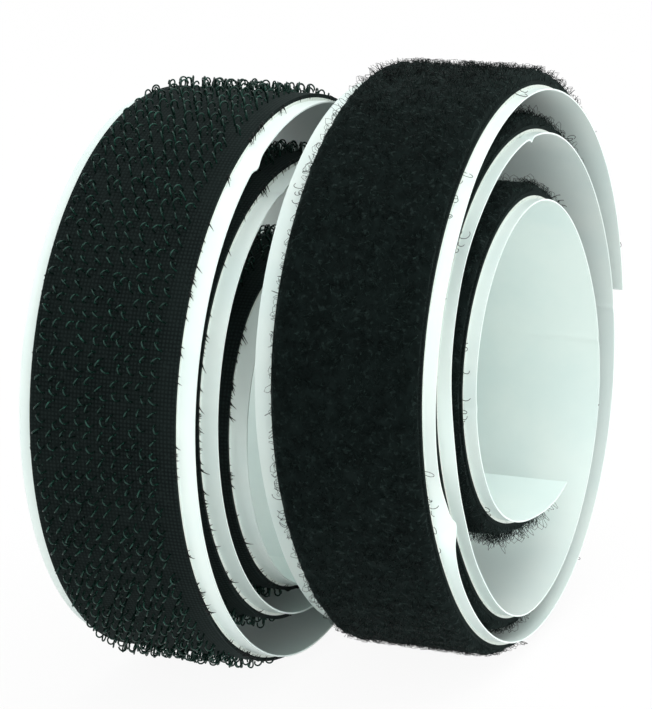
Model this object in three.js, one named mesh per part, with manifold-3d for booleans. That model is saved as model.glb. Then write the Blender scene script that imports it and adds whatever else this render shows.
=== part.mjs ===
// A hook tape and a loop tape, self-adhesive, each wound loosely into a roll that stands on its rim.
// Millimetres, +Z up. X runs along the rolls' axes, and the camera side is -Y. The origin is on the floor,
// under the middle of the pair. Each tape is wound pile outwards, from the inner end at the bottom of the
// roll, forwards, up over the front and back down the rear.
import * as THREE from "three";
import { mergeVertices } from "three/addons/utils/BufferGeometryUtils.js";
import Module from "manifold-3d";

const wasm = await Module();
wasm.setup();

// The tape: a woven ground with its pile outside, an adhesive coat inside and a release liner over that.
const tapeWidth = 20;
const groundThickness = 0.5;
const adhesiveThickness = 0.2;
const linerThickness = 0.2;
const linerOverhang = 2.1; // the liner stands past both edges of the tape, by this much on average
const hookLinerShift = 0.2; // how far the liner lies off its tape's middle, towards +X
const loopLinerShift = -0.5;
const layerGap = 0.1; // between one layer and the next
const hookHeight = 1.4; // with the slice of backing that the hooks stand on
const loopHeight = 1.7;
const hookSelvedge = 2; // bare woven edge beside the hooks
const loopSelvedge = 0.6; // bare woven edge beside the loops

// The hooks: rows of bent filaments on a slice of backing, in four fields round the outermost turn.
const hookBacking = 0.25;
const hookFilament = 0.4;
const hookStem = 0.8; // upright part of a hook, above its backing
const hookLean = 0.7; // how far the tip reaches sideways
const hookPitchAcross = 3.2;
const hookPitchAlong = 3.6;
const fieldGap = 0.3; // between neighbouring fields
const hookedTurnShare = 0.93; // of a turn, from the outer end back

// The rolls.
const rollRadius = 38; // from the roll's centre to the liner of the outermost turn
const flatDepth = 0.2; // how deep the pile is pressed flat where the roll rests
const rollSpacing = 2.5; // between the two liners' edges, along the rolls' axes
const hookRollForward = 10.7; // the hook roll stands nearer the camera side

// A winding's distance from its roll's centre, as shares of the roll's radius. Each row is one turn:
// bottom, lower front, upper front, top, upper rear, lower rear. The first value stands before the
// inner end, and the last row runs past the outer end.
const hookLeadShare = 0.715;
const hookWindingShares = [
  [0.74, 0.62, 0.515, 0.43, 0.555, 0.73],
  [0.82, 0.8, 0.79, 0.745, 0.815, 0.895],
  [0.96, 0.97, 0.965, 0.955, 0.98, 0.985],
];
const loopLeadShare = 0.645;
const loopWindingShares = [
  [0.48, 0.505, 0.595, 0.64, 0.655, 0.78],
  [0.825, 0.72, 0.85, 0.875, 0.865, 0.93],
  [0.915, 0.86, 0.975, 1.025, 1.01, 1.005],
];
// Where each tape starts and ends, as shares of a turn from the bottom of its innermost turn.
const hookTurnShares = [-0.03, 2.75];
const loopTurnShares = [-0.105, 2.735];
const stepsPerTurn = 24;
const measureStepsPerTurn = 120;

const fabric = new THREE.MeshStandardMaterial({ color: 0x121718, roughness: 0.9 });
const filament = new THREE.MeshStandardMaterial({ color: 0x1b2a27, roughness: 0.45 });
const adhesive = new THREE.MeshStandardMaterial({ color: 0xcfcdbf, roughness: 0.35 });
const linerPaper = new THREE.MeshStandardMaterial({ color: 0xeef1ee, roughness: 0.5 });

const linerWidth = tapeWidth + 2 * linerOverhang;

// Heights of the layers above the liner's inner face.
const linerLayer = { from: 0, to: linerThickness };
const adhesiveLayer = { from: linerLayer.to + layerGap, to: linerLayer.to + layerGap + adhesiveThickness };
const groundLayer = { from: adhesiveLayer.to + layerGap, to: adhesiveLayer.to + layerGap + groundThickness };
const hookLayer = { from: groundLayer.to + layerGap, to: groundLayer.to + layerGap + hookHeight };
const loopLayer = { from: groundLayer.to + layerGap, to: groundLayer.to + layerGap + loopHeight };

// A smooth value between the stations of a table, at a place counted in stations.
function between(stations, place) {
  const at = Math.min(Math.max(Math.floor(place), 0), stations.length - 2);
  const f = place - at;
  const before = stations[Math.max(at - 1, 0)];
  const after = stations[Math.min(at + 2, stations.length - 1)];
  const [here, next] = [stations[at], stations[at + 1]];
  const slope = (next - before) / 2;
  const nextSlope = (after - here) / 2;
  const bend = f * f * (3 - 2 * f);
  return here + (next - here) * bend + slope * f * (1 - f) * (1 - f) - nextSlope * f * f * (1 - f);
}

// One tape's path round its roll. A point is (y, z), and turn counts turns from the bottom.
class Winding {
  constructor(leadShare, rows, turnShares, pile) {
    this.radii = [leadShare, ...rows.flat()].map((share) => share * rollRadius);
    this.radiiPerTurn = rows[0].length;
    [this.start, this.end] = turnShares;
    this.steps = Math.round((this.end - this.start) * stepsPerTurn);
    this.centreHeight = 0;
    this.centreHeight = -flatDepth - this.lowest(pile.to);
  }

  onPath(turn) {
    const radius = between(this.radii, turn * this.radiiPerTurn + 1);
    const angle = turn * 2 * Math.PI;
    return new THREE.Vector2(-radius * Math.sin(angle), this.centreHeight - radius * Math.cos(angle));
  }

  // Unit vector away from the roll, square to the tape.
  outward(turn) {
    const nudge = 1 / measureStepsPerTurn;
    const along = this.onPath(turn + nudge).sub(this.onPath(turn - nudge)).normalize();
    return new THREE.Vector2(-along.y, along.x);
  }

  at(turn, height) {
    return this.onPath(turn).addScaledVector(this.outward(turn), height);
  }

  // The stations, counted from the inner end, are the corners of every layer's facets.
  station(count, height) {
    return this.at(this.start + ((this.end - this.start) * count) / this.steps, height);
  }

  // Points on one face of a layer. A fractional station lies on the facet between its neighbours.
  line(height, from = 0, to = this.steps) {
    const places = [from];
    for (let count = Math.floor(from) + 1; count < to; count++) places.push(count);
    places.push(to);
    return places.map((place) => {
      const count = Math.min(Math.floor(place), this.steps - 1);
      return this.station(count, height).lerp(this.station(count + 1, height), place - count);
    });
  }

  // Closely spaced points of one face of a layer, for measuring.
  measured(height) {
    const turns = this.end - this.start;
    const steps = Math.round(turns * measureStepsPerTurn);
    return Array.from({ length: steps + 1 }, (_, i) => this.at(this.start + (turns * i) / steps, height));
  }

  lowest(height) {
    return Math.min(...this.measured(height).map((p) => p.y));
  }

  // The least distance from a layer's outer face to its own inner face, a turn or so further out.
  leastGap(layer) {
    const outer = this.measured(layer.to);
    const inner = this.measured(layer.from);
    let least = Infinity;
    outer.forEach((p, i) => {
      for (let j = i + measureStepsPerTurn / 2; j < inner.length; j++)
        least = Math.min(least, p.distanceTo(inner[j]));
    });
    return least;
  }
}

// The outline lies in the plane across the rolls' axes, and width runs evenly to both sides of the middle.
function extrudeAcross(outline, width) {
  const geometry = new THREE.ExtrudeGeometry(new THREE.Shape(outline), { depth: width, bevelEnabled: false });
  geometry.translate(0, 0, -width / 2);
  const [x, y, z] = [new THREE.Vector3(1, 0, 0), new THREE.Vector3(0, 1, 0), new THREE.Vector3(0, 0, 1)];
  return geometry.applyMatrix4(new THREE.Matrix4().makeBasis(y, z, x));
}

function layerGeometry(winding, layer, width, from, to) {
  const outer = winding.line(layer.to, from, to);
  const inner = winding.line(layer.from, from, to);
  return extrudeAcross([...inner, ...outer.reverse()], width);
}

function toSolid(geometry) {
  const plain = geometry.clone();
  plain.deleteAttribute("normal");
  plain.deleteAttribute("uv");
  const merged = mergeVertices(plain);
  return new wasm.Manifold(
    new wasm.Mesh({
      numProp: 3,
      vertProperties: merged.attributes.position.array,
      triVerts: new Uint32Array(merged.index.array),
    }),
  );
}

function toGeometry(solid) {
  const mesh = solid.getMesh();
  const geometry = new THREE.BufferGeometry();
  geometry.setAttribute("position", new THREE.BufferAttribute(mesh.vertProperties, 3));
  geometry.setIndex(new THREE.BufferAttribute(mesh.triVerts, 1));
  geometry.computeVertexNormals();
  return geometry;
}

// Everything below the floor, which presses the pile flat.
function belowFloor() {
  const block = new THREE.BoxGeometry(2 * tapeWidth, 2 * rollRadius, rollRadius);
  return toSolid(block.translate(0, 0, -rollRadius / 2));
}

// One hook: a three-sided stem that rises from inside its backing, and a pointed tip bent to one side.
function hookSolid(foot, up, side) {
  const sideways = new THREE.Vector3(side, 0, 0);
  const along = new THREE.Vector3().crossVectors(up, sideways);
  const half = hookFilament / 2;
  const corners = [
    sideways.clone().multiplyScalar(half),
    sideways.clone().multiplyScalar(-half).addScaledVector(along, half),
    sideways.clone().multiplyScalar(-half).addScaledVector(along, -half),
  ];
  const bend = foot.clone().addScaledVector(up, hookBacking / 2 + hookStem);
  const tip = foot.clone().addScaledVector(up, hookHeight - hookBacking / 2).addScaledVector(sideways, hookLean);
  const points = [...corners.map((c) => c.clone().add(foot)), ...corners.map((c) => c.clone().add(bend)), tip];
  const faces = [0, 2, 1];
  for (let i = 0; i < corners.length; i++) {
    const j = (i + 1) % corners.length;
    faces.push(i, j, 3 + j, i, 3 + j, 3 + i, 3 + i, 3 + j, 6);
  }
  const geometry = new THREE.BufferGeometry().setFromPoints(points);
  return toSolid(geometry.setIndex(faces));
}

// One field of hooks, fused to the slice of backing that runs under it. Each row stands on a facet of it.
function hookFieldGeometry(winding, from, to) {
  const width = tapeWidth - 2 * hookSelvedge;
  const columns = Math.floor(width / hookPitchAcross);
  const backing = { from: hookLayer.from, to: hookLayer.from + hookBacking };
  const solids = [toSolid(layerGeometry(winding, backing, width, from, to))];
  const facets = new THREE.Path(winding.line((backing.from + backing.to) / 2, from, to));
  const rows = Math.floor(facets.getLength() / hookPitchAlong);
  for (let row = 0; row < rows; row++) {
    const place = (row + 1 / 2) / rows;
    const side = row % 2 ? 1 : -1;
    const foot = facets.getPointAt(place);
    const along = facets.getTangentAt(place);
    const up = new THREE.Vector3(0, -along.y, along.x);
    for (let column = 0; column < columns; column++) {
      const across = (column - (columns - 1) / 2) * hookPitchAcross - (side * hookPitchAcross) / 4;
      solids.push(hookSolid(new THREE.Vector3(across, foot.x, foot.y), up, side));
    }
  }
  return toGeometry(wasm.Manifold.union(solids).subtract(belowFloor()));
}

function piece(name, geometry, material) {
  const mesh = new THREE.Mesh(geometry, material);
  mesh.name = name;
  return mesh;
}

// The three plain layers of a tape, wound as one.
function tapeLayers(prefix, winding, linerShift) {
  const liner = layerGeometry(winding, linerLayer, linerWidth).translate(linerShift, 0, 0);
  return [
    piece(prefix + "_release_liner", liner, linerPaper),
    piece(prefix + "_adhesive", layerGeometry(winding, adhesiveLayer, tapeWidth), adhesive),
    piece(prefix + "_woven_ground", layerGeometry(winding, groundLayer, tapeWidth), fabric),
  ];
}

function hookRoll() {
  const winding = new Winding(hookLeadShare, hookWindingShares, hookTurnShares, hookLayer);
  const roll = new THREE.Group();
  roll.add(...tapeLayers("hook", winding, hookLinerShift));
  const names = ["hook_field_base", "hook_field_front", "hook_field_top", "hook_field_rear"];
  const fieldSteps = (hookedTurnShare * stepsPerTurn) / names.length;
  const gapSteps = (fieldGap / (2 * Math.PI * rollRadius)) * stepsPerTurn;
  names.forEach((name, i) => {
    const to = winding.steps - (names.length - 1 - i) * fieldSteps;
    roll.add(piece(name, hookFieldGeometry(winding, to - fieldSteps + gapSteps, to), filament));
  });
  console.log("hook tape: least gap of its ground to itself", winding.leastGap(groundLayer).toFixed(2), "mm");
  return roll;
}

function loopRoll() {
  const winding = new Winding(loopLeadShare, loopWindingShares, loopTurnShares, loopLayer);
  const roll = new THREE.Group();
  const pile = toSolid(layerGeometry(winding, loopLayer, tapeWidth - 2 * loopSelvedge));
  roll.add(...tapeLayers("loop", winding, loopLinerShift));
  roll.add(piece("loop_pile", toGeometry(pile.subtract(belowFloor())), fabric));
  const whole = { from: linerLayer.from, to: loopLayer.to };
  console.log("loop tape: least gap of the whole tape to itself", winding.leastGap(whole).toFixed(2), "mm");
  return roll;
}

const pair = new THREE.Group();
const hooks = hookRoll();
hooks.position.set(loopLinerShift - hookLinerShift - (linerWidth + rollSpacing), -hookRollForward, 0);
pair.add(hooks, loopRoll());

// The middle of the pair goes over the origin.
const bounds = new THREE.Box3().setFromObject(pair, true);
const middle = bounds.getCenter(new THREE.Vector3());
pair.position.set(-middle.x, -middle.y, 0);

const part = new THREE.Group();
part.add(pair);

export default part;
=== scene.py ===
"""Self-adhesive hook tape and loop tape, each wound loosely into a roll that stands on its rim.

Metres, +Z up. X runs along the rolls' axes, and the camera looks from the -Y and +X side. A place on a tape
is given by its turn, counted from the bottom of the roll, by its distance across the tape, and by its height
above the inner face of the release liner.
"""

import logging
import math
from collections.abc import Callable
from dataclasses import dataclass
from enum import Enum

import bpy
import numpy as np
from bpy.types import Material, Node, NodeOutputs, NodeSocket, NodeTree, Object, World
from mathutils import Matrix, Vector


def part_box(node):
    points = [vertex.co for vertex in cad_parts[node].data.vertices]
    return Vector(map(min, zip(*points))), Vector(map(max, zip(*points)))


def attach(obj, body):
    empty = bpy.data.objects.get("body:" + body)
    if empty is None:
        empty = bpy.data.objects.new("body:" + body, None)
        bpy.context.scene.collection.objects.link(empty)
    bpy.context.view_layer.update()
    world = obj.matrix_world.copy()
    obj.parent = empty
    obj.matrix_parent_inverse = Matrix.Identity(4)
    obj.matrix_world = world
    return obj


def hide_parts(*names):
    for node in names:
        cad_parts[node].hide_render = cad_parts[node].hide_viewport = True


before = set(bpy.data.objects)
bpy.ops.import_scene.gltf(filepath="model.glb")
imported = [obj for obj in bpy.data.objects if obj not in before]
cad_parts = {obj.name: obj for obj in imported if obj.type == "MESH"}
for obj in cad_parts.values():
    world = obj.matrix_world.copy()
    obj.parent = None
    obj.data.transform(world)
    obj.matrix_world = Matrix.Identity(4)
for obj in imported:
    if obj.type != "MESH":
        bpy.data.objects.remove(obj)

Colour = tuple[float, float, float, float]
Span = tuple[float, float]
Stretch = tuple[str, float, float]  # a name, and the turns where a stretch of tape starts and ends
Array = np.ndarray

MM = 0.001
FULL_TURN = 2 * math.pi
TAPE_PLACE = "tape_place"  # the texture coordinate that runs along and across a tape
STRAND_PLACE = "strand_place"  # the texture coordinate that runs from a strand's foot to its tip
SHARP_ANGLE = math.radians(50)
FLOOR_CLEARANCE = 0.03 * MM
OUTERMOST_TURNS = 1.06  # how far the fully modelled part of a tape reaches back from its outer end
FIELD_NAMES = ("base", "front", "top", "rear")  # the outermost turn's parts, the last at the outer end
SPREAD_LIMIT = 2  # the furthest random draw, in standard deviations
NO_CAPS = np.zeros((0, 4), int)
WHITE: Colour = (1, 1, 1, 1)

log = logging.getLogger("tape_rolls")


class Slot(Enum):
    """The record's material slots."""

    LINER = "liner_paper"
    ADHESIVE = "adhesive_coat"
    FABRIC = "woven_fabric"
    HOOKS = "hook_filament"
    LOOPS = "loop_pile"


def add_object(name: str, points: Array, quads: Array, caps: Array = NO_CAPS) -> Object:
    """Makes a smooth-shaded mesh object in the row frame.

    Args:
        name: The piece's name.
        points: The vertices, as rows of three.
        quads: The four-sided faces, as rows of vertex numbers.
        caps: More faces, all with one number of sides.

    Returns:
        The object, linked to the scene.
    """
    mesh = bpy.data.meshes.new(name)
    mesh.vertices.add(len(points))
    mesh.vertices.foreach_set("co", np.ascontiguousarray(points, np.float32).ravel())
    corners = np.concatenate([quads.ravel(), caps.ravel()]).astype(np.int32)
    sizes = np.repeat([quads.shape[1], caps.shape[1]], [len(quads), len(caps)])
    mesh.loops.add(len(corners))
    mesh.loops.foreach_set("vertex_index", corners)
    mesh.polygons.add(len(sizes))
    mesh.polygons.foreach_set("loop_start", (np.cumsum(sizes) - sizes).astype(np.int32))
    mesh.update(calc_edges=True)
    mesh.shade_smooth()
    made = bpy.data.objects.new(name, mesh)
    bpy.context.collection.objects.link(made)
    return made


def add_place(made: Object, name: str, places: Array) -> None:
    """Gives a mesh a texture coordinate.

    Args:
        made: The mesh object.
        name: The coordinate's name.
        places: The coordinate at each vertex, as rows of two.
    """
    corner = np.empty(len(made.data.loops), np.int32)
    made.data.loops.foreach_get("vertex_index", corner)
    layer = made.data.uv_layers.new(name=name)
    layer.data.foreach_set("uv", places[corner].astype(np.float32).ravel())


def add_sheet(name: str, outer: Array, inner: Array, place: Array) -> Object:
    """Makes a closed sheet between two grids of points, with crisp cut edges.

    Args:
        name: The piece's name.
        outer: The outer face, as rows along the tape of points across it.
        inner: The inner face, in the same order.
        place: Each point's distance along and across the tape, which becomes its texture coordinate.

    Returns:
        The object.
    """
    rows, columns = outer.shape[:2]
    number = np.arange(rows * columns).reshape(rows, columns)
    face = np.stack([number[:-1, :-1], number[:-1, 1:], number[1:, 1:], number[1:, :-1]], -1).reshape(-1, 4)
    under = rows * columns
    border = np.concatenate([number[0, :-1], number[:-1, -1], number[-1, :0:-1], number[:0:-1, 0]])
    following = np.roll(border, -1)
    rim = np.stack([following, border, border + under, following + under], -1)
    quads = np.concatenate([face[:, ::-1], face + under, rim[:, ::-1]])
    made = add_object(name, np.concatenate([outer.reshape(-1, 3), inner.reshape(-1, 3)]), quads)
    add_place(made, TAPE_PLACE, np.tile(place.reshape(-1, 2), (2, 1)))
    made.data.set_sharp_from_angle(angle=SHARP_ANGLE)
    return made


def add_strands(
    name: str, centres: Array, radii: Array | float, sideways: Array, sides: int, marked: bool = False
) -> Object:
    """Makes one mesh of many thin tubes, each closed at both ends.

    Args:
        name: The piece's name.
        centres: The middle lines, as strands of points.
        radii: The radius, or the radius at each of those points.
        sideways: For each strand, a direction square to the plane that it lies in.
        sides: How many sides a tube has.
        marked: True for a texture coordinate that goes from 0 at each foot to 1 at its tip.

    Returns:
        The object.
    """
    strands, steps = centres.shape[:2]
    along = np.gradient(centres, axis=1)
    first = unit(np.cross(along, sideways[:, None, :]))
    second = unit(np.cross(along, first))
    angle = np.arange(sides) * FULL_TURN / sides
    ring = first[:, :, None] * np.cos(angle)[:, None] + second[:, :, None] * np.sin(angle)[:, None]
    points = centres[:, :, None] + np.broadcast_to(radii, (strands, steps))[..., None, None] * ring
    number = np.arange(strands * steps * sides).reshape(strands, steps, sides)
    beside = np.roll(number, -1, axis=2)
    quads = np.stack([number[:, :-1], beside[:, :-1], beside[:, 1:], number[:, 1:]], -1).reshape(-1, 4)
    caps = np.concatenate([number[:, 0, ::-1], number[:, -1]])
    made = add_object(name, points.reshape(-1, 3), quads, caps)
    if marked:
        share = np.tile(np.repeat(np.arange(steps) / (steps - 1), sides), strands)
        add_place(made, STRAND_PLACE, np.column_stack([share, np.zeros_like(share)]))
    return made


def unit(vectors: Array) -> Array:
    """The same directions with length one."""
    return vectors / np.linalg.norm(vectors, axis=-1, keepdims=True)


def spread(draw: np.random.Generator, deviation: float, shape: int | tuple[int, ...]) -> Array:
    """Normal draws about zero, without the rare far ones."""
    return np.clip(draw.normal(0, 1, shape), -SPREAD_LIMIT, SPREAD_LIMIT) * deviation


def signs(draw: np.random.Generator, share: float, count: int) -> Array:
    """One for about that share of the draws, and minus one for the others."""
    return np.where(draw.random(count) < share, 1, -1)


@dataclass
class NodeSheet:
    """A node tree with short ways to add and join its nodes."""

    tree: NodeTree

    @classmethod
    def blank(cls, owner: Material | World) -> "NodeSheet":
        """Starts the empty node tree of a material or a world."""
        owner.use_nodes = True
        owner.node_tree.nodes.clear()
        return cls(owner.node_tree)

    def add(self, kind: str, values: dict[str | int, object] | None = None, **settings: object) -> Node:
        """Adds a node.

        Args:
            kind: The node's type.
            values: What its inputs are set to, or joined to, by name or number.
            **settings: The node's own properties.

        Returns:
            The node.
        """
        node = self.tree.nodes.new(kind)
        for key, value in settings.items():
            setattr(node, key, value)
        for key, value in (values or {}).items():
            if isinstance(value, NodeSocket):
                self.tree.links.new(value, node.inputs[key])
            else:
                node.inputs[key].default_value = value
        return node

    def math(self, operation: str, *values: object) -> NodeSocket:
        """Adds a Math node and returns its output."""
        return self.add("ShaderNodeMath", dict(enumerate(values)), operation=operation).outputs[0]

    def blend(self, factor: object, first: object, second: object) -> NodeSocket:
        """Adds a colour Mix node and returns its output."""
        values = {"Factor": factor, 6: first, 7: second}
        return self.add("ShaderNodeMix", values, data_type="RGBA").outputs[2]

    def noise(self, where: object, scale: object, detail: float) -> NodeSocket:
        """Adds a noise texture and returns its value."""
        values = {"Vector": where, "Scale": scale, "Detail": detail}
        return self.add("ShaderNodeTexNoise", values).outputs["Fac"]

    def mix(self, share: object, first: Node, second: Node, output: str) -> None:
        """Adds an output node that shows a blend of two shaders."""
        mixed = self.add("ShaderNodeMixShader", {0: share, 1: first.outputs[0], 2: second.outputs[0]})
        self.add(output, {"Surface": mixed.outputs[0]})

    def ramp(self, value: object, span: Span, ends: Span = (0, 1)) -> NodeSocket:
        """Adds a Map Range node that goes smoothly from end to end over a span, and returns its output."""
        values = dict(enumerate((value, *span, *ends)))
        return self.add("ShaderNodeMapRange", values, interpolation_type="SMOOTHSTEP").outputs[0]

    def own_place(self) -> NodeSocket:
        """Adds the object's own coordinates."""
        return self.add("ShaderNodeTexCoord").outputs["Object"]

    def parts(self, vector: NodeSocket) -> NodeOutputs:
        """Splits a vector into X, Y and Z."""
        return self.add("ShaderNodeSeparateXYZ", {0: vector}).outputs

    def marked_place(self, name: str) -> NodeOutputs:
        """Adds a mesh's texture coordinate, split into its parts."""
        return self.parts(self.add("ShaderNodeUVMap", uv_map=name).outputs[0])


@dataclass(frozen=True)
class EffectGroup:
    """A shader node group that is built once and placed in each material that needs it."""

    name: str
    inputs: dict[str, str]  # each socket's name and type
    outputs: dict[str, str]
    wire: Callable[[NodeSheet, NodeOutputs], dict[str, NodeSocket]]  # from the inputs to the outputs by name

    def tree(self) -> NodeTree:
        """Finds the group, or builds it the first time."""
        found = bpy.data.node_groups.get(self.name)
        if found:
            return found
        made = bpy.data.node_groups.new(self.name, "ShaderNodeTree")
        for direction, sockets in (("INPUT", self.inputs), ("OUTPUT", self.outputs)):
            for name, kind in sockets.items():
                made.interface.new_socket(name, in_out=direction, socket_type=kind)
        sheet = NodeSheet(made)
        results = self.wire(sheet, sheet.add("NodeGroupInput").outputs)
        sheet.add("NodeGroupOutput", dict(results))
        return made


COLOUR, VALUE = "NodeSocketColor", "NodeSocketFloat"
DRIFT_SPAN: Span = (0.35, 0.65)  # like the next three, the values between which an effect sets in
FLECK_SPAN: Span = (0.55, 0.78)
# where the painted highlight on the yarn crowns sets in
CROWN_HIGHLIGHT_SPAN: Span = (0.15, 0.95)
CLOUD_SPAN: Span = (0.3, 0.7)


def wire_dye(sheet: NodeSheet, given: NodeOutputs) -> dict[str, NodeSocket]:
    """Dyed fibre: a slow drift between two tones, and single lighter fibres at random, which on the loop
    pile stand in for glints as a painted highlight.
    """
    where = sheet.own_place()
    drift = sheet.noise(where, given["Drift Scale"], detail=2)
    single = sheet.noise(where, given["Fibre Scale"], detail=1)
    tone = sheet.blend(sheet.ramp(drift, DRIFT_SPAN), given["Deep"], given["Worn"])
    fleck = sheet.ramp(single, FLECK_SPAN)
    return {"Color": sheet.blend(fleck, tone, given["Fleck"]), "Fleck Mask": fleck}


def wire_weave(sheet: NodeSheet, given: NodeOutputs) -> dict[str, NodeSocket]:
    """Plain weave: yarns that pass over and under each other along and across the tape, with a mask for a
    painted highlight on the yarn crowns.
    """
    waves = [
        sheet.math("SINE", sheet.math("DIVIDE", sheet.math("MULTIPLY", part, math.pi), given["Yarn Pitch"]))
        for part in sheet.marked_place(TAPE_PLACE)[:2]
    ]
    crown = sheet.math("ABSOLUTE", sheet.math("MULTIPLY", *waves))
    return {"Height": crown, "Crown Highlight Mask": sheet.ramp(crown, CROWN_HIGHLIGHT_SPAN)}


def wire_paper(sheet: NodeSheet, given: NodeOutputs) -> dict[str, NodeSocket]:
    """Coated paper: cloudy formation and short pressed fibres."""
    where = sheet.own_place()
    cloud = sheet.noise(where, given["Cloud Scale"], detail=4)
    fibres = sheet.noise(where, given["Fibre Scale"], detail=6)
    tone = sheet.blend(sheet.ramp(cloud, CLOUD_SPAN), given["Tone"], given["Cloud Tone"])
    return {"Color": tone, "Height": sheet.math("ADD", fibres, cloud)}


DYE = EffectGroup(
    "dyed_fibre",
    {"Deep": COLOUR, "Worn": COLOUR, "Fleck": COLOUR, "Drift Scale": VALUE, "Fibre Scale": VALUE},
    {"Color": COLOUR, "Fleck Mask": VALUE},
    wire_dye,
)
WEAVE = EffectGroup("plain_weave", {"Yarn Pitch": VALUE}, {"Height": VALUE, "Crown Highlight Mask": VALUE}, wire_weave)
PAPER = EffectGroup(
    "coated_paper",
    {"Tone": COLOUR, "Cloud Tone": COLOUR, "Cloud Scale": VALUE, "Fibre Scale": VALUE},
    {"Color": COLOUR, "Height": VALUE},
    wire_paper,
)


@dataclass(frozen=True)
class Finish:
    """A surface's material. Each kind of finish says in wire what feeds its shader."""

    name: str
    roughness: float
    relief: float  # how deep its bumps are

    def wire(self, sheet: NodeSheet) -> dict[str, object]:
        """Returns the shader's varying inputs by socket name, and a Height for the bumps."""
        raise NotImplementedError

    def constants(self) -> dict[str, object]:
        """The shader's fixed inputs by socket name."""
        return {"Roughness": self.roughness}

    def place(self, group: EffectGroup, sheet: NodeSheet) -> NodeOutputs:
        """Places a group, with each input set to this finish's field of the same name."""
        values = {name: getattr(self, name.lower().replace(" ", "_")) for name in group.inputs}
        return sheet.add("ShaderNodeGroup", values, node_tree=group.tree()).outputs

    def material(self) -> Material:
        """Finds the material, or builds it the first time."""
        found = bpy.data.materials.get(self.name)
        if found:
            return found
        made = bpy.data.materials.new(self.name)
        sheet = NodeSheet.blank(made)
        varying = self.wire(sheet)
        bump = sheet.add("ShaderNodeBump", {"Height": varying.pop("Height"), "Distance": self.relief})
        values = {**self.constants(), **varying, "Normal": bump.outputs[0]}
        shader = sheet.add("ShaderNodeBsdfPrincipled", values)
        sheet.add("ShaderNodeOutputMaterial", {"Surface": shader.outputs[0]})
        return made


@dataclass(frozen=True)
class PaperFinish(Finish):
    """The white release liner, smooth with a soft silicone shine."""

    tone: Colour = (0.73, 0.85, 0.82, 1)
    cloud_tone: Colour = (0.79, 0.89, 0.85, 1)
    cloud_scale: float = 90
    fibre_scale: float = 2500
    fibre_span: Span = (0.7, 1.3)
    roughness_changes: Span = (-0.05, 0.08)

    def wire(self, sheet: NodeSheet) -> dict[str, object]:
        """Cloudy paper with pressed fibres."""
        paper = self.place(PAPER, sheet)
        ends = tuple(self.roughness + change for change in self.roughness_changes)
        rough = sheet.ramp(paper["Height"], self.fibre_span, ends)
        return {"Base Color": paper["Color"], "Height": paper["Height"], "Roughness": rough}


@dataclass(frozen=True)
class FibreFinish(Finish):
    """Dyed synthetic fibre, near black with a green cast."""

    deep: Colour = (0.0015, 0.0027, 0.0028, 1)
    worn: Colour = (0.0026, 0.0046, 0.0044, 1)
    fleck: Colour = (0.007, 0.013, 0.0115, 1)
    drift_scale: float = 120
    fibre_scale: float = 1500
    fleck_gloss: float = 0.12
    shine: float = 0.2
    sheen: float = 0
    sheen_tint: Colour = (0.72, 1, 0.95, 1)

    def wire(self, sheet: NodeSheet) -> dict[str, object]:
        """The dye, with flecks that stand up a little and shine a little more."""
        dye = self.place(DYE, sheet)
        rough = sheet.ramp(dye["Fleck Mask"], (0, 1), (self.roughness, self.roughness - self.fleck_gloss))
        return {"Base Color": dye["Color"], "Roughness": rough, "Height": dye["Fleck Mask"]}

    def constants(self) -> dict[str, object]:
        """Adds how much light a fibre mirrors, and the soft sheen of many fibres side by side."""
        sheen = {"Sheen Weight": self.sheen, "Sheen Tint": self.sheen_tint}
        return {**super().constants(), "Specular IOR Level": self.shine, **sheen}


@dataclass(frozen=True)
class WovenFinish(FibreFinish):
    """The woven ground, with a painted highlight on its yarn crowns."""

    # painted highlight: the lighter colour blended in at the yarn crowns
    crown: Colour = (0.0104, 0.0158, 0.015, 1)
    yarn_pitch: float = 0.5 * MM

    def wire(self, sheet: NodeSheet) -> dict[str, object]:
        """The dye under a plain weave, with the painted highlight blended in at the yarn crowns."""
        dye = self.place(DYE, sheet)
        weave = self.place(WEAVE, sheet)
        colour = sheet.blend(weave["Crown Highlight Mask"], dye["Color"], self.crown)
        return {"Base Color": colour, "Height": weave["Height"]}


@dataclass(frozen=True)
class HookFinish(FibreFinish):
    """Nylon monofilament, with a painted highlight on each hook's crown where it bends over."""

    # painted highlight: the colour laid on each hook's crown; the next five fields place it and vary its
    # strength from hook to hook
    crown: Colour = (0.013, 0.032, 0.027, 1)
    highlight_share: float = 0.52
    highlight_reach: float = 0.12
    highlight_patch_scale: float = 420
    highlight_patch_span: Span = (0.36, 0.6)
    highlight_levels: Span = (0.22, 1)
    shine_tint: Colour = (0.55, 1, 0.85, 1)

    def constants(self) -> dict[str, object]:
        """Adds the cast of what the filament mirrors."""
        return {**super().constants(), "Specular Tint": self.shine_tint}

    def wire(self, sheet: NodeSheet) -> dict[str, object]:
        """The dye, with a painted highlight at each crown that is brighter on some hooks than on others."""
        varying = super().wire(sheet)
        # painted highlight on a short stretch about each crown, stronger on some hooks
        share = sheet.marked_place(STRAND_PLACE)[0]
        away = sheet.math("ABSOLUTE", sheet.math("SUBTRACT", share, self.highlight_share))
        patches = sheet.noise(sheet.own_place(), self.highlight_patch_scale, detail=1)
        level = sheet.ramp(patches, self.highlight_patch_span, self.highlight_levels)
        highlight_mask = sheet.math("MULTIPLY", sheet.ramp(away, (0, self.highlight_reach), (1, 0)), level)
        return {**varying, "Base Color": sheet.blend(highlight_mask, varying["Base Color"], self.crown)}


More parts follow.
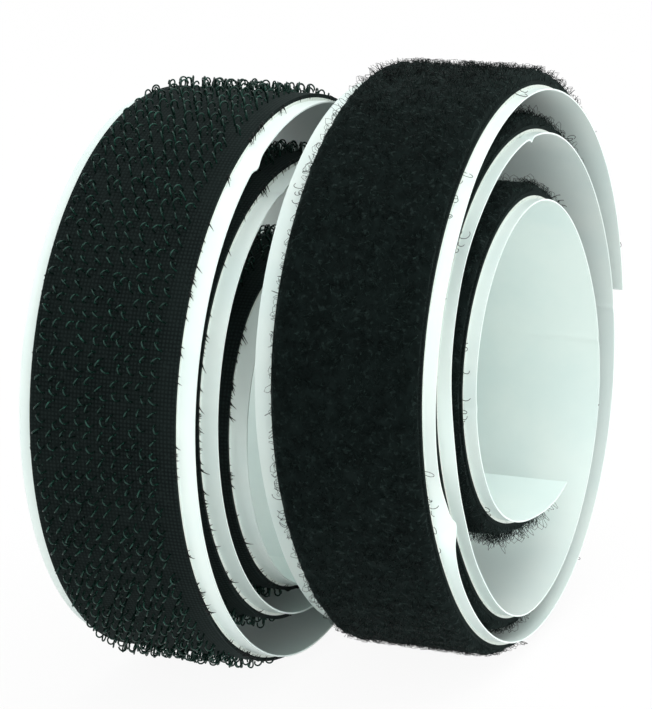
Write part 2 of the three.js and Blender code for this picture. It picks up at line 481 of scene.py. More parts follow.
LINER_FINISH = PaperFinish("release_liner_paper", roughness=0.42, relief=0.004 * MM)
ADHESIVE_FINISH = PaperFinish(
    "adhesive_film",
    roughness=0.3,
    relief=0.01 * MM,
    tone=(0.60, 0.66, 0.61, 1),
    cloud_tone=(0.66, 0.71, 0.66, 1),
    cloud_scale=300,
)
WOVEN_FINISH = WovenFinish(
    "woven_ground_fabric",
    roughness=0.8,
    relief=0.04 * MM,
    deep=(0.0038, 0.0063, 0.0061, 1),
    worn=(0.0052, 0.0084, 0.0079, 1),
    fleck=(0.0085, 0.0135, 0.0125, 1),
    shine=0.03,
    sheen=0.035,
)
EDGE_YARN_FINISH = FibreFinish("edge_yarn_fibre", roughness=0.6, relief=0.01 * MM)
HOOK_FINISH = HookFinish(
    "hook_monofilament",
    roughness=0.25,
    relief=0.002 * MM,
    deep=(0.0028, 0.009, 0.007, 1),
    worn=(0.005, 0.0185, 0.0135, 1),
    fleck=(0.014, 0.058, 0.042, 1),
    drift_scale=350,
    fibre_scale=900,
    shine=0.3,
)
LOOP_FINISH = FibreFinish(
    "loop_pile_fibre",
    roughness=0.5,
    relief=0.003 * MM,
    deep=(0.002, 0.0042, 0.004, 1),
    worn=(0.005, 0.0105, 0.0092, 1),
    # painted highlight: the light fleck tone on fibres at random stands in for glints on the pile
    fleck=(0.022, 0.043, 0.037, 1),
    drift_scale=260,
    shine=0.07,
)
FELT_FINISH = FibreFinish(
    "loop_pile_felt",
    roughness=0.9,
    relief=0.15 * MM,
    deep=(0.0026, 0.0048, 0.0044, 1),
    worn=(0.0046, 0.0082, 0.0076, 1),
    fleck=(0.0098, 0.017, 0.0155, 1),
    drift_scale=700,
    shine=0.03,
    sheen=0.05,
)


@dataclass(frozen=True)
class Winding:
    """A tape's path round its roll, seen along the roll's axis.

    Its distance from the roll's centre is given at six stations a turn, as shares of the roll's radius: at
    the bottom, lower front, upper front, top, upper rear and lower rear.
    """

    lead_share: float  # at the station before the inner end
    turn_shares: tuple[tuple[float, ...], ...]
    start: float  # the inner end, in turns
    end: float
    roll_radius: float = 38 * MM
    facets_per_turn: int = 24  # in the solid model
    length_steps: int = 4000

    def radius(self, turns: Array) -> Array:
        """The distance from the roll's centre, smooth between the stations."""
        stations = self.roll_radius * np.array([self.lead_share, *np.ravel(self.turn_shares)])
        last = len(stations) - 1
        place = turns * len(self.turn_shares[0]) + 1
        at = np.clip(np.floor(place).astype(int), 0, last - 1)
        f = place - at
        before, here, after, beyond = (stations[np.clip(at + step, 0, last)] for step in range(-1, 3))
        slope, next_slope = (after - before) / 2, (beyond - here) / 2
        bend = f * f * (3 - 2 * f)
        return here + (after - here) * bend + slope * f * (1 - f) ** 2 - next_slope * f * f * (1 - f)

    def path(self, turns: Array) -> Array:
        """Points of the path as rows of Y and Z, from the roll's centre."""
        angle = turns * FULL_TURN
        return self.radius(turns)[:, None] * np.stack([-np.sin(angle), -np.cos(angle)], -1)

    def along(self, turns: Array) -> Array:
        """Unit vectors along the tape, towards its outer end, as rows of Y and Z."""
        nudge = 1 / 120
        return unit(self.path(turns + nudge) - self.path(turns - nudge))

    def outward(self, turns: Array) -> Array:
        """Unit vectors away from the roll, square to the tape, as rows of Y and Z."""
        along = self.along(turns)
        return np.stack([-along[:, 1], along[:, 0]], -1)

    def at(self, turns: Array, height: Array | float) -> Array:
        """Points at a height above the liner's inner face, as rows of Y and Z."""
        return self.path(turns) + self.outward(turns) * np.reshape(height, (-1, 1))

    def facet_corners(self, height: float) -> Array:
        """The solid model's corners at a height."""
        facets = round((self.end - self.start) * self.facets_per_turn)
        return self.at(np.linspace(self.start, self.end, facets + 1), height)

    def lengths(self) -> tuple[Array, Array]:
        """Closely spaced turns, and the length of tape from the inner end to each."""
        turns = np.linspace(self.start, self.end, self.length_steps + 1)
        steps = np.linalg.norm(np.diff(self.path(turns), axis=0), axis=1)
        return turns, np.concatenate([[0], np.cumsum(steps)])

    def turn_at(self, length: Array) -> Array:
        """The turns at distances along the tape from its inner end."""
        turns, lengths = self.lengths()
        return np.interp(length, lengths, turns)

    def length_at(self, turns: Array | float) -> Array:
        """The distance along the tape from its inner end to a turn."""
        known, lengths = self.lengths()
        return np.interp(turns, known, lengths)


@dataclass(frozen=True)
class Crease:
    """A place where the liner lifts off the tape, inwards."""

    turn: float
    depth: float
    width: float  # along the tape, to each side
    reach: float = 3 * MM  # how far in from the near edge the lift fades out
    whole: bool = False  # true where it runs right across and doesn't fade
    sharp: bool = False  # true for a fold, false for a soft bulge
    fold_steepness: float = 1.5
    fade_power: float = 1.5

    def profile(self, distance: Array) -> Array:
        """How far the liner lifts at distances along the tape from the crease."""
        x = np.abs(distance) / self.width
        return self.depth * np.exp(-x * (self.fold_steepness if self.sharp else x))

    def fade(self, inboard: Array) -> Array | float:
        """What share of that lift is left at distances in from the near edge."""
        return 1 if self.whole else np.clip(1 - inboard / self.reach, 0, 1) ** self.fade_power


@dataclass(frozen=True)
class Strays:
    """Loose ends that stand over the liner from both edges of a tape, in clusters."""

    count: int
    clusters: int
    scatter: float  # along the tape, about each cluster
    near_share: float  # how many of them are at the near edge
    foot_heights: Span
    inset: float = 0
    crowding: float = 1  # above one, it crowds the clusters towards the inner end


@dataclass
class TapeRoll:
    """What both rolls share: the wound tape with its liner, adhesive and woven ground."""

    prefix: str
    body: str
    winding: Winding
    creases: tuple[Crease, ...]
    seed: int
    bare_edge: float = 0.6 * MM  # how far in from the near edge the weave is bare
    liner_outer: float = 0.2 * MM  # like the next two, a layer's height above the liner's inner face
    adhesive_outer: float = 0.6 * MM
    ground_outer: float = 1.1 * MM
    step_along: float = 0.3 * MM
    liner_columns: int = 11
    rim_columns: int = 6
    rim_ripple: float = 0.12 * MM
    ripple_length: float = 9 * MM
    ripple_stretches: Span = (0.7, 1.6)
    ripple_waves: int = 4
    adhesive_coarseness: int = 3
    adhesive_columns: int = 7
    ground_columns: int = 9
    yarn_relief: float = 0.05 * MM

    def __post_init__(self) -> None:
        """Takes the widths and the roll's centre from its solids in the frame."""
        self.random = np.random.default_rng(self.seed)
        low, high = (np.array(corner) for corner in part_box(f"{self.prefix}_woven_ground"))
        self.tape_width = high[0] - low[0]
        middle = (low[0] + high[0]) / 2
        low, high = (np.array(corner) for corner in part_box(f"{self.prefix}_release_liner"))
        self.liner_width = high[0] - low[0]
        self.liner_shift = (low[0] + high[0]) / 2 - middle
        corners = [self.winding.facet_corners(height) for height in (0, self.liner_outer)]
        self.centre = np.array([middle, *(low[1:] - np.concatenate(corners).min(axis=0))])

    @property
    def length(self) -> float:
        """The tape's whole length."""
        return float(self.winding.length_at(self.winding.end))

    def outer_stretches(self, turns: float) -> list[Stretch]:
        """Parts the tape's last turns into four."""
        size = turns / len(FIELD_NAMES)
        ends = [self.winding.end - (len(FIELD_NAMES) - 1 - i) * size for i in range(len(FIELD_NAMES))]
        return [(name, end - size, end) for name, end in zip(FIELD_NAMES, ends)]

    def inner_stretches(self, turns: float) -> list[Stretch]:
        """Parts the tape before its last turns into two of one length."""
        end = self.winding.end - turns
        middle = float(self.winding.turn_at(self.winding.length_at(end) / 2))
        return [("inner_turn", self.winding.start, middle), ("middle_turn", middle, end)]

    def surface(self, turns: Array, across: Array, height: Array | float) -> Array:
        """Points of the tape in the row frame."""
        return np.column_stack([across, self.winding.at(turns, height)]) + self.centre

    def axes(self, turns: Array) -> Array:
        """For each turn, the unit vectors across, along and outward, as three rows."""
        zero, one = np.zeros((len(turns), 1)), np.ones((len(turns), 1))
        across = np.hstack([one, zero, zero])
        along = np.hstack([zero, self.winding.along(turns)])
        outward = np.hstack([zero, self.winding.outward(turns)])
        return np.stack([across, along, outward], axis=1)

    def on_tape(self, feet: Array, offsets: Array) -> Array:
        """Places strands on the tape.

        Args:
            feet: Each strand's turn, distance across and height, as rows.
            offsets: For each strand, points as distances across, along and outward from its foot.

        Returns:
            The points in the row frame. None lies below the floor.
        """
        start = self.surface(feet[:, 0], feet[:, 1], feet[:, 2])
        points = start[:, None] + np.einsum("nka,nab->nkb", offsets, self.axes(feet[:, 0]))
        points[..., 2] = np.maximum(points[..., 2], FLOOR_CLEARANCE)
        return points

    def stray_feet(self, strays: Strays) -> tuple[Array, Array]:
        """Draws where the loose ends at the tape's edges start.

        Args:
            strays: How they lie.

        Returns:
            Their feet, as rows of turn, distance across and height, and the sign of each one's edge.
        """
        draw, count = self.random, strays.count
        clusters = self.length * draw.uniform(0, 1, strays.clusters) ** strays.crowding
        spot = clusters[draw.integers(0, strays.clusters, count)] + spread(draw, strays.scatter, count)
        turns = self.winding.turn_at(np.clip(spot, 0, self.length))
        side = signs(draw, strays.near_share, count)
        across = side * (self.tape_width / 2 - strays.inset)
        return np.column_stack([turns, across, draw.uniform(*strays.foot_heights, count)]), side

    def grid(self, along_steps: Array, across_steps: Array) -> tuple[Array, Array]:
        """Turns and distances across for each point of a sheet's grid, both as flat arrays."""
        turns = self.winding.turn_at(along_steps)
        return np.repeat(turns, len(across_steps)), np.tile(across_steps, len(turns))

    def ripple(self, length: Array) -> Array:
        """A gentle irregular wave along the tape, from -1 to 1."""
        draw = self.random
        wave = 0
        for _ in range(self.ripple_waves):
            stretch, start = draw.uniform(*self.ripple_stretches), draw.uniform(0, FULL_TURN)
            wave = wave + np.sin(length / (self.ripple_length * stretch) + start)
        return wave / self.ripple_waves

    def sheet(self, name: str, bottom: Array, top: Array, along: Array, across: Array) -> Object:
        """Makes one layer of the tape.

        Args:
            name: The piece's name.
            bottom: The inner face's heights, along by across.
            top: The outer face's heights.
            along: Distances along the tape.
            across: Distances across the tape.

        Returns:
            The piece.
        """
        turns, sideways = self.grid(along, across)
        shape = (len(along), len(across), 3)
        outer, inner = (self.surface(turns, sideways, h.ravel()).reshape(shape) for h in (top, bottom))
        place = np.stack(np.meshgrid(along, across, indexing="ij"), -1)
        return add_sheet(name, outer, inner, place)

    def finish(self, piece: Object, finish: Finish, slot: Slot, *nodes: str) -> None:
        """Dresses a piece and seats it in the frame.

        Args:
            piece: The piece.
            finish: Its material.
            slot: The record's material slot; not used.
            *nodes: The solids that it stands for.
        """
        piece.data.materials.append(finish.material())
        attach(piece, self.body)
        if nodes:
            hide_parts(*nodes)
        log.info("%s: %d faces", piece.name, len(piece.data.polygons))

    def build_liner(self) -> None:
        """The release liner, wider than the tape, with its creases."""
        along = np.arange(0, self.length, self.step_along)
        edge = self.tape_width / 2
        rim = np.linspace(edge, self.liner_width / 2, self.rim_columns)
        across = np.concatenate([-rim[::-1], np.linspace(-edge, edge, self.liner_columns)[1:-1], rim])
        lift = np.zeros((len(along), len(across)))
        for crease in self.creases:
            away = along - self.winding.length_at(crease.turn)
            lift += crease.profile(away)[:, None] * crease.fade(self.liner_width / 2 - across)
        overhang = np.clip((np.abs(across) - edge) / (self.liner_width / 2 - edge), 0, 1)
        for side in (-1, 1):
            wave = self.ripple(along)[:, None] * self.rim_ripple
            lift += wave * np.where(np.sign(across) == side, overhang, 0)
        bottom = -lift
        sideways = across + self.liner_shift
        piece = self.sheet(f"{self.prefix}_liner", bottom, bottom + self.liner_outer, along, sideways)
        self.finish(piece, LINER_FINISH, Slot.LINER, f"{self.prefix}_release_liner")

    def build_adhesive(self) -> None:
        """The adhesive film between the liner and the woven ground."""
        along = np.arange(0, self.length, self.adhesive_coarseness * self.step_along)
        across = np.linspace(-self.tape_width / 2, self.tape_width / 2, self.adhesive_columns)
        flat = np.ones((len(along), len(across)))
        bottom, top = flat * self.liner_outer, flat * self.adhesive_outer
        piece = self.sheet(f"{self.prefix}_adhesive_film", bottom, top, along, across)
        self.finish(piece, ADHESIVE_FINISH, Slot.ADHESIVE, f"{self.prefix}_adhesive")

    def build_ground(self) -> None:
        """The woven ground, with the yarns' crowns raised where the edges are bare."""
        pitch = WOVEN_FINISH.yarn_pitch
        outermost = pitch * int(self.winding.length_at(self.winding.end - OUTERMOST_TURNS) / pitch)
        inner, outer = np.arange(0, outermost, pitch), np.arange(outermost, self.length, pitch / 2)
        along = np.concatenate([inner, outer])
        half = self.tape_width / 2
        inboard = half - pitch * math.ceil(self.bare_edge / pitch)
        band = np.arange(inboard, half, pitch / 2)
        middle = np.linspace(-inboard, inboard, self.ground_columns)[1:-1]
        across = np.concatenate([[-half], -band[::-1], middle, band, [half]])
        crowns = np.abs(np.sin(along * math.pi / pitch)[:, None] * np.sin(across * math.pi / pitch)[None, :])
        fine = (along > outermost)[:, None] * (np.abs(across) >= inboard)[None, :]
        top = self.ground_outer + self.yarn_relief * crowns * fine
        bottom = np.full_like(top, self.adhesive_outer)
        piece = self.sheet(f"{self.prefix}_ground", bottom, top, along, across)
        self.finish(piece, WOVEN_FINISH, Slot.FABRIC, f"{self.prefix}_woven_ground")

    def build(self) -> None:
        """Builds the whole roll. Each kind of roll has its own pile and its own strays."""
        self.build_liner()
        self.build_adhesive()
        self.build_ground()
        self.build_pile()
        self.build_strays()


@dataclass
class HookRoll(TapeRoll):
    """The roll of hook tape: bent monofilament hooks in staggered rows, short of both edges."""

    bare_edge: float = 2.3 * MM
    far_bare_edge: float = 1.1 * MM
    fields_turns: float = 0.93
    pitch_across: float = 1.74 * MM
    pitch_along: float = 1.62 * MM
    jitter: float = 0.05 * MM
    filament: float = 0.23 * MM
    filament_sides: int = 5
    stem: float = 0.75 * MM
    knee_share: float = 0.6
    curl_radius: float = 0.49 * MM
    curl_angle: float = math.radians(205)
    curl_deviation: float = 0.08
    outer_bends: int = 11
    inner_bends: int = 8
    slant: float = math.radians(54)
    slant_deviation: float = 0.16
    turned_share: float = 0.12
    size_deviation: float = 0.09
    lean_deviation: float = 0.09
    leg_length: float = 0.7 * MM
    leg_shares: Span = (0.5, 1.2)
    leg_lean_deviation: float = 0.2
    yarns: Strays = Strays(560, 190, 1.3 * MM, 0.8, foot_heights=(0.8 * MM, 1.1 * MM), crowding=1.5)
    yarn_length: float = 1.3 * MM
    yarn_least_share: float = 0.2
    yarn_rarity: float = 3
    far_yarn_share: float = 0.5
    yarn_slants: Span = (0.7, 1.3)
    yarn_root_share: float = 0.15
    yarn_steps: int = 5
    yarn_sides: int = 5
    yarn_drop: float = 0.6 * MM
    yarn_radius: float = 0.11 * MM

    def hooks(self, stretch: Stretch, bends: int, *nodes: str) -> None:
        """Makes the hooks of one stretch of tape.

        Args:
            stretch: The stretch.
            bends: How many points round a hook's bend.
            *nodes: The solids that the piece stands for.
        """
        draw = self.random
        name, *ends = stretch
        first, last = self.winding.length_at(np.array(ends))
        rows = np.arange(int(first / self.pitch_along) + 1, int(last / self.pitch_along) + 1)
        columns = round((self.tape_width - self.bare_edge - self.far_bare_edge) / self.pitch_across)
        middle = (self.far_bare_edge - self.bare_edge) / 2
        row, column = (a.ravel() for a in np.meshgrid(rows, np.arange(columns), indexing="ij"))
        across = middle + (column - (columns - 1) / 2 + (row % 2 - 0.5) / 2) * self.pitch_across
        way = np.where(row % 2 == 0, 1, -1)
        count = len(row)
        jitter = spread(draw, self.jitter, (2, count))
        turns = self.winding.turn_at(np.clip(row * self.pitch_along + jitter[0], 0, self.length))
        height = np.full(count, self.ground_outer - self.filament / 2)
        foot = np.column_stack([turns, across + jitter[1], height])
        side = way * -signs(draw, self.turned_share, count)
        size = 1 + spread(draw, self.size_deviation, count)
        stretched = 1 + spread(draw, self.curl_deviation, count)[:, None]
        bend = np.linspace(0, self.curl_angle, bends) * stretched
        stem = self.stem + self.filament / 2
        reach = self.curl_radius * (1 - np.cos(bend))
        rise = stem + self.curl_radius * np.sin(bend)
        reach = np.hstack([np.zeros((count, 2)), reach]) * (side * size)[:, None]
        knee = np.full((count, 1), stem * self.knee_share)
        rise = np.hstack([np.zeros((count, 1)), knee, rise]) * size[:, None]
        lean = spread(draw, self.lean_deviation, (2, count))
        slant = (way * (self.slant + spread(draw, self.slant_deviation, count)))[:, None]
        level = np.stack([np.cos(slant), np.sin(slant)])
        offsets = np.stack([*(reach * level + rise * lean[..., None]), rise], -1)
        apart = (2 * self.curl_radius * side * size)[:, None]
        leg_share = draw.uniform(*self.leg_shares, count)[:, None]
        climb = np.linspace(0, 1, offsets.shape[1]) * self.leg_length * leg_share
        leg_lean = spread(draw, self.leg_lean_deviation, (2, count))
        legs = np.stack([*(apart * level + climb * leg_lean[..., None]), climb], -1)
        centres = self.on_tape(np.concatenate([foot, foot]), np.concatenate([offsets, legs]))
        axes = self.axes(turns)
        sideways = axes[:, 1] * np.cos(slant) - axes[:, 0] * np.sin(slant)
        sideways = np.concatenate([sideways, sideways])
        piece = add_strands(f"hooks_{name}", centres, self.filament / 2, sideways, self.filament_sides, True)
        self.finish(piece, HOOK_FINISH, Slot.HOOKS, *nodes)

    def build_pile(self) -> None:
        """The four fields of the outermost turn, and the hooks between the turns."""
        for stretch in self.outer_stretches(self.fields_turns):
            self.hooks(stretch, self.outer_bends, f"hook_field_{stretch[0]}")
        for stretch in self.inner_stretches(self.fields_turns):
            self.hooks(stretch, self.inner_bends)

    def build_strays(self) -> None:
        """Cut yarn ends that hang over the liner from both edges of the tape."""
        draw, count = self.random, self.yarns.count
        foot, side = self.stray_feet(self.yarns)
        share = self.yarn_least_share + draw.uniform(0, 1, count) ** self.yarn_rarity
        length = (self.yarn_length * share * np.where(side > 0, 1, self.far_yarn_share))[:, None]
        slant = draw.uniform(*self.yarn_slants, count)[:, None]
        step = np.linspace(-self.yarn_root_share, 1, self.yarn_steps)[None, :]
        out = side[:, None] * length * np.cos(slant) * step
        back = -length * np.sin(slant) * step
        drop = -self.yarn_drop * step * np.abs(step) * np.ones_like(out)
        centres = self.on_tape(foot, np.stack([out, back, drop], -1))
        radii = self.yarn_radius * (1 + self.yarn_root_share - step)
        piece = add_strands("hook_edge_yarns", centres, radii, self.axes(foot[:, 0])[:, 2], self.yarn_sides)
        self.finish(piece, EDGE_YARN_FINISH, Slot.FABRIC)


@dataclass
class LoopRoll(TapeRoll):
    """The roll of loop tape: a dense pile of fine loops right to the edges."""

    felt_height: float = 1.05 * MM
    felt_step: float = 0.6 * MM
    felt_columns: int = 40
    felt_deviation: float = 0.12 * MM
    felt_edge_shares: tuple[float, ...] = (0.6, 0.2)
    fibre: float = 0.055 * MM
    fibre_sides: int = 3
    loops_per_mm2: float = 3.3
    loop_height: float = 1.6 * MM
    loop_height_shares: Span = (0.75, 1.1)
    loop_width: float = 1.15 * MM
    loop_width_shares: Span = (0.5, 1.3)
    loop_sweep: Span = (math.radians(-55), math.radians(235))
    loop_middle_share: float = 0.56
    loop_foot_share: float = 0.12
    tilt_deviation: float = 0.38
    low_edge: float = 1.2 * MM
    low_edge_loss: float = 0.35
    outer_steps: int = 6
    inner_steps: int = 7
    inner_band: float = 3 * MM
    inner_stray: float = 1.4
    stray_share: float = 0.08
    nap_heights: tuple[float, ...] = (0, 6 * MM, 62 * MM, 76 * MM)
    nap_shares: tuple[float, ...] = (0.4, 1, 1, 1.35)
    free_turns: Span = (0.1, 0.3)
    free_shares: Span = (1.6, 1)
    curls: Strays = Strays(280, 38, 1.1 * MM, 0.5, foot_heights=(0.8 * MM, 1.6 * MM), inset=0.2 * MM)
    curl_least: float = 0.12 * MM
    curl_range: float = 0.72 * MM
    curl_rarity: float = 1.7
    curl_sweeps: Span = (0.35 * FULL_TURN, 0.85 * FULL_TURN)
    curl_start: float = 0.8
    curl_offset_share: float = 1.2
    curl_out_shares: Span = (0.5, 1.2)
    curl_ahead_shares: Span = (0.4, 1.1)
    curl_deviation: float = 0.4
    curl_lift: float = 0.5
    curl_radius: float = 0.042 * MM
    curl_steps: int = 10
    curl_sides: int = 4

    def nap(self, turns: Array, across: Array) -> Array:
        """The pile's height as a share of its free height: pressed at the floor, fluffed at the top."""
        above_floor = self.surface(turns, across, self.ground_outer)[:, 2]
        return np.interp(above_floor, self.nap_heights, self.nap_shares)

    def loops(self, stretch: Stretch, band: float, steps: int, stray: float = 1) -> None:
        """Makes the loops of one stretch of tape.

        Args:
            stretch: The stretch.
            band: How far in from each edge the loops reach.
            steps: How many points round a loop.
            stray: How much taller the loosest loops stand than the others.
        """
        draw = self.random
        name, *ends = stretch
        first, last = self.winding.length_at(np.array(ends))
        half = self.tape_width / 2 - self.bare_edge / 2
        count = int(self.loops_per_mm2 * (last - first) * min(2 * band, 2 * half) / MM**2)
        turns = self.winding.turn_at(draw.uniform(first, last, count))
        across = -signs(draw, 0.5, count) * (half - draw.uniform(0, min(band, half), count))
        foot = np.column_stack([turns, across, np.full(count, self.ground_outer)])
        height = self.loop_height * draw.uniform(*self.loop_height_shares, count) * self.nap(turns, across)
        height *= np.interp(turns, self.free_turns, self.free_shares)
        width = (self.loop_width * draw.uniform(*self.loop_width_shares, count))[:, None]
        heading = draw.uniform(0, FULL_TURN, count)[:, None]
        tilt = spread(draw, self.tilt_deviation, (2, count))
        near_edge = np.clip(1 - (half - np.abs(across)) / self.low_edge, 0, 1)
        height *= 1 - self.low_edge_loss * near_edge
        height *= np.where(draw.random(count) < self.stray_share, stray, 1)
        round_loop = np.linspace(*self.loop_sweep, steps)
        middle, foot_share = self.loop_middle_share, self.loop_foot_share
        rise_share = np.concatenate([[0], middle + (1 - middle) * np.sin(round_loop), [0]])
        rise = height[:, None] * rise_share
        swing = width * np.concatenate([[foot_share], np.cos(round_loop) / 2, [-foot_share]])
        level = np.stack([np.cos(heading), np.sin(heading)])
        offsets = np.stack([*(swing * level + rise * tilt[..., None]), rise], -1)
        axes = self.axes(turns)
        sideways = axes[:, 1] * level[0] - axes[:, 0] * level[1]
        centres = self.on_tape(foot, offsets)
        piece = add_strands(f"loops_{name}", centres, self.fibre / 2, sideways, self.fibre_sides)
        self.finish(piece, LOOP_FINISH, Slot.LOOPS)

    def build_pile(self) -> None:
        """The matted foot of the pile, and the loops that stand up from it."""
        along = np.arange(0, self.length, self.felt_step)
        half = self.tape_width / 2 - self.bare_edge / 2
        across = np.linspace(-half, half, self.felt_columns)
        rough = spread(self.random, self.felt_deviation, (len(along), len(across)))
        nap = self.nap(*self.grid(along, across)).reshape(rough.shape)
        top = self.ground_outer + self.felt_height * nap + rough
        for column, share in enumerate(self.felt_edge_shares):
            top[:, [column, -1 - column]] -= self.felt_height * share
        bottom = np.full_like(top, self.ground_outer)
        felt = self.sheet("loop_felt", bottom, top, along, across)
        self.finish(felt, FELT_FINISH, Slot.LOOPS, "loop_pile")
        for stretch in self.outer_stretches(OUTERMOST_TURNS):
            self.loops(stretch, self.tape_width, self.outer_steps)
        for stretch in self.inner_stretches(OUTERMOST_TURNS):
            self.loops(stretch, self.inner_band, self.inner_steps, self.inner_stray)

    def build_strays(self) -> None:
        """Loose fibres that curl over the liner from both edges of the tape."""
        draw, count = self.random, self.curls.count
        foot, side = self.stray_feet(self.curls)
        size = self.curl_least + self.curl_range * draw.uniform(0, 1, (count, 1)) ** self.curl_rarity
        sweep = draw.uniform(*self.curl_sweeps, (count, 1))
        start = draw.uniform(-self.curl_start, self.curl_start, (count, 1)) - math.pi
        angle = np.linspace(0, 1, self.curl_steps) * sweep + start
        out_share = draw.uniform(*self.curl_out_shares, (count, 1))
        out = side[:, None] * size * (self.curl_offset_share + out_share * np.cos(angle))
        ahead_share = draw.uniform(*self.curl_ahead_shares, (count, 1))
        ahead = size * (ahead_share * np.sin(angle) + spread(draw, self.curl_deviation, (count, 1)))
        lift = draw.uniform(-self.curl_lift, self.curl_lift, (count, 1)) * out * side[:, None]
        centres = self.on_tape(foot, np.stack([out, ahead, lift], -1))
        sideways = self.axes(foot[:, 0])[:, 2]
        piece = add_strands("loop_edge_curls", centres, self.curl_radius, sideways, self.curl_sides)
        self.finish(piece, LOOP_FINISH, Slot.LOOPS)


@dataclass(frozen=True)
class Lamp:
    """A square soft box that faces the rolls."""

    name: str
    place: tuple[float, float, float]
    size: float
    watts: float

    def hang(self, target: Vector) -> None:
        """Adds the lamp, turned towards a point."""
        data = bpy.data.lights.new(self.name, "AREA")
        data.size, data.energy = self.size, self.watts
        lamp = bpy.data.objects.new(self.name, data)
        lamp.location = self.place
        lamp.rotation_euler = (target - lamp.location).to_track_quat("-Z", "Y").to_euler()
        bpy.context.collection.objects.link(lamp)


@dataclass(frozen=True)
class Studio:
    """A plain white floor, soft light that is strongest from the right, and the photograph's camera."""

    azimuth: float = math.radians(23.603)  # where the camera stands, from -Y towards +X
    elevation: float = math.radians(15.659)
    roll: float = math.radians(-1.3)
    distance: float = 420 * MM  # to the point that the camera looks at
    aim_right: float = -16.65 * MM  # that point's place as the camera sees it, from the loop roll's centre
    aim_up: float = 5.84 * MM
    aim_height: float = 35 * MM  # the height that it is counted from, and that the lamps face
    focal_pixels: float = 3135.7
    picture_height: float = 709  # the photograph's long side in pixels
    clip: Span = (10 * MM, 10)
    world_levels: Span = (0.4, 1.38)  # how strongly the background lights the rolls from -X and from +X
    floor_half_width: float = 4
    floor_tone: Colour = (0.9, 0.9, 0.9, 1)
    floor_glow_share: float = 0.93  # how far the floor is plain white where the camera sees it
    lamps: tuple[Lamp, ...] = (
        Lamp("key_light", (0.1, -0.85, 0.4), size=0.45, watts=0.9),
        Lamp("top_light", (0.15, 0.0, 0.9), size=0.7, watts=3),
        Lamp("side_light", (0.72, -0.5, 0.08), size=0.5, watts=2.3),
    )

    def add_camera(self, centre: Array) -> None:
        """Sets the camera up from the loop roll's centre."""
        cosine, sine, flat = math.cos(self.azimuth), math.sin(self.azimuth), math.cos(self.elevation)
        back = Vector((sine * flat, -cosine * flat, math.sin(self.elevation)))
        level = Vector((cosine, sine, 0))
        upright = back.cross(level)
        middle = Vector((centre[0], centre[1], self.aim_height))
        target = middle + level * self.aim_right + upright * self.aim_up
        right = level * math.cos(self.roll) + upright * math.sin(self.roll)
        up = upright * math.cos(self.roll) - level * math.sin(self.roll)
        data = bpy.data.cameras.new("photo_camera")
        data.lens = self.focal_pixels / self.picture_height * data.sensor_width
        data.clip_start, data.clip_end = self.clip
        camera = bpy.data.objects.new("photo_camera", data)
        turned = Matrix((right, up, back)).transposed().to_4x4()
        camera.matrix_world = Matrix.Translation(target + back * self.distance) @ turned
        bpy.context.collection.objects.link(camera)
        bpy.context.scene.camera = camera

    def seen_directly(self, sheet: NodeSheet) -> NodeSocket:
        """One for rays from the camera and for reflections, and zero for light that bounces."""
        path = sheet.add("ShaderNodeLightPath").outputs
        mirrored = sheet.math("MAXIMUM", path["Is Glossy Ray"], path["Is Transmission Ray"])
        return sheet.math("MAXIMUM", path["Is Camera Ray"], mirrored)

    def add_world(self) -> None:
        """A white background that lights the rolls softly, less from -X than from +X."""
        world = bpy.data.worlds.new("studio")
        sheet = NodeSheet.blank(world)
        rightward = sheet.parts(sheet.add("ShaderNodeTexCoord").outputs["Generated"])[0]
        level = sheet.ramp(rightward, (-1, 1), self.world_levels)
        lit = sheet.add("ShaderNodeBackground", {"Color": WHITE, "Strength": level})
        white = sheet.add("ShaderNodeBackground", {"Color": WHITE, "Strength": 1})
        sheet.mix(self.seen_directly(sheet), lit, white, "ShaderNodeOutputWorld")
        bpy.context.scene.world = world

    def add_floor(self) -> None:
        """A white floor that keeps a faint shadow."""
        corners = np.array([(-1, -1, 0), (1, -1, 0), (1, 1, 0), (-1, 1, 0)]) * self.floor_half_width
        floor = add_object("floor", corners, np.array([[0, 1, 2, 3]]))
        material = bpy.data.materials.new("studio_floor")
        sheet = NodeSheet.blank(material)
        matt = sheet.add("ShaderNodeBsdfDiffuse", {"Color": self.floor_tone})
        glow = sheet.add("ShaderNodeEmission", {"Color": WHITE, "Strength": 1})
        share = sheet.math("MULTIPLY", self.seen_directly(sheet), self.floor_glow_share)
        sheet.mix(share, matt, glow, "ShaderNodeOutputMaterial")
        floor.data.materials.append(material)

    def build(self, centre: Array) -> None:
        """Sets up the camera, the lights and the floor."""
        self.add_camera(centre)
        self.add_world()
        self.add_floor()
        for lamp in self.lamps:
            lamp.hang(Vector((0, 0, self.aim_height)))
        bpy.context.scene.view_settings.view_transform = "Standard"


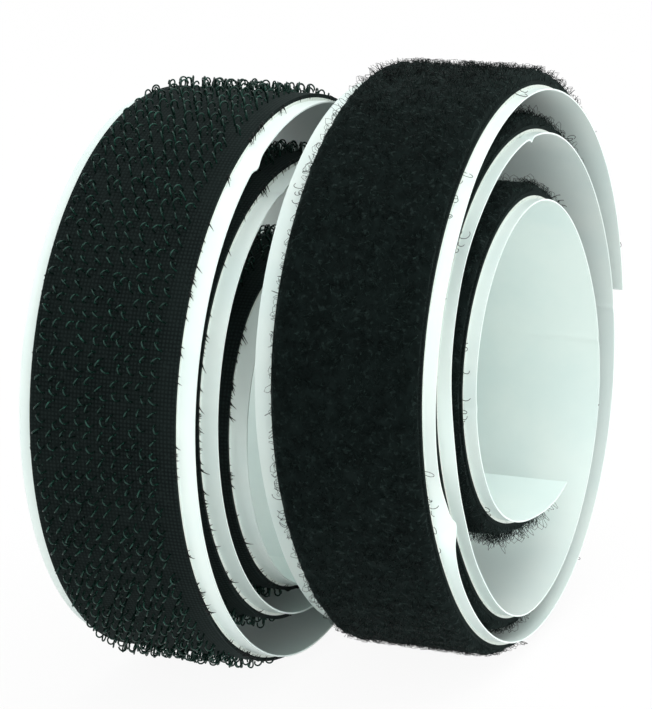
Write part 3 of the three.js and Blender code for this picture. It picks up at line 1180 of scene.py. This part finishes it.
HOOK_WINDING = Winding(
    lead_share=0.715,
    turn_shares=(
        (0.74, 0.62, 0.515, 0.43, 0.555, 0.73),
        (0.82, 0.8, 0.79, 0.745, 0.815, 0.895),
        (0.96, 0.97, 0.965, 0.955, 0.98, 0.985),
    ),
    start=-0.03,
    end=2.75,
)
LOOP_WINDING = Winding(
    lead_share=0.645,
    turn_shares=(
        (0.48, 0.505, 0.595, 0.64, 0.655, 0.78),
        (0.825, 0.72, 0.85, 0.875, 0.865, 0.93),
        (0.915, 0.86, 0.975, 1.025, 1.01, 1.005),
    ),
    start=-0.105,
    end=2.735,
)
HOOK_CREASES = (
    Crease(turn=2.425, depth=0.7 * MM, width=1.2 * MM),
    Crease(turn=1.45, depth=0.35 * MM, width=1.5 * MM, whole=True, sharp=True),
)
LOOP_CREASES = (
    Crease(turn=2.201, depth=1.55 * MM, width=5.5 * MM, reach=3.2 * MM),
    Crease(turn=2.193, depth=1.25 * MM, width=1.7 * MM, reach=3.2 * MM),
    Crease(turn=2.26, depth=-0.3 * MM, width=7 * MM),
    Crease(turn=2.37, depth=0.3 * MM, width=7 * MM),
    Crease(turn=1.255, depth=0.7 * MM, width=8 * MM),
    Crease(turn=1.37, depth=-0.35 * MM, width=6 * MM),
    Crease(turn=1.15, depth=-0.3 * MM, width=5 * MM),
    Crease(turn=1.50, depth=0.7 * MM, width=0.7 * MM, reach=6 * MM, sharp=True),
    Crease(turn=1.74, depth=0.3 * MM, width=0.8 * MM, whole=True, sharp=True),
    Crease(turn=0.755, depth=0.35 * MM, width=0.9 * MM, reach=16 * MM, sharp=True),
    Crease(turn=0.27, depth=0.3 * MM, width=1.2 * MM, reach=8 * MM, sharp=True),
)


def main() -> None:
    """Builds both rolls and the studio."""
    logging.basicConfig(level=logging.INFO, format="%(name)s: %(message)s")
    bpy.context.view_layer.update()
    hook_roll = HookRoll("hook", "hook_roll", HOOK_WINDING, HOOK_CREASES, seed=11)
    loop_roll = LoopRoll("loop", "loop_roll", LOOP_WINDING, LOOP_CREASES, seed=23)
    Studio().build(loop_roll.centre)
    hook_roll.build()
    loop_roll.build()


if __name__ == "__main__":
    main()
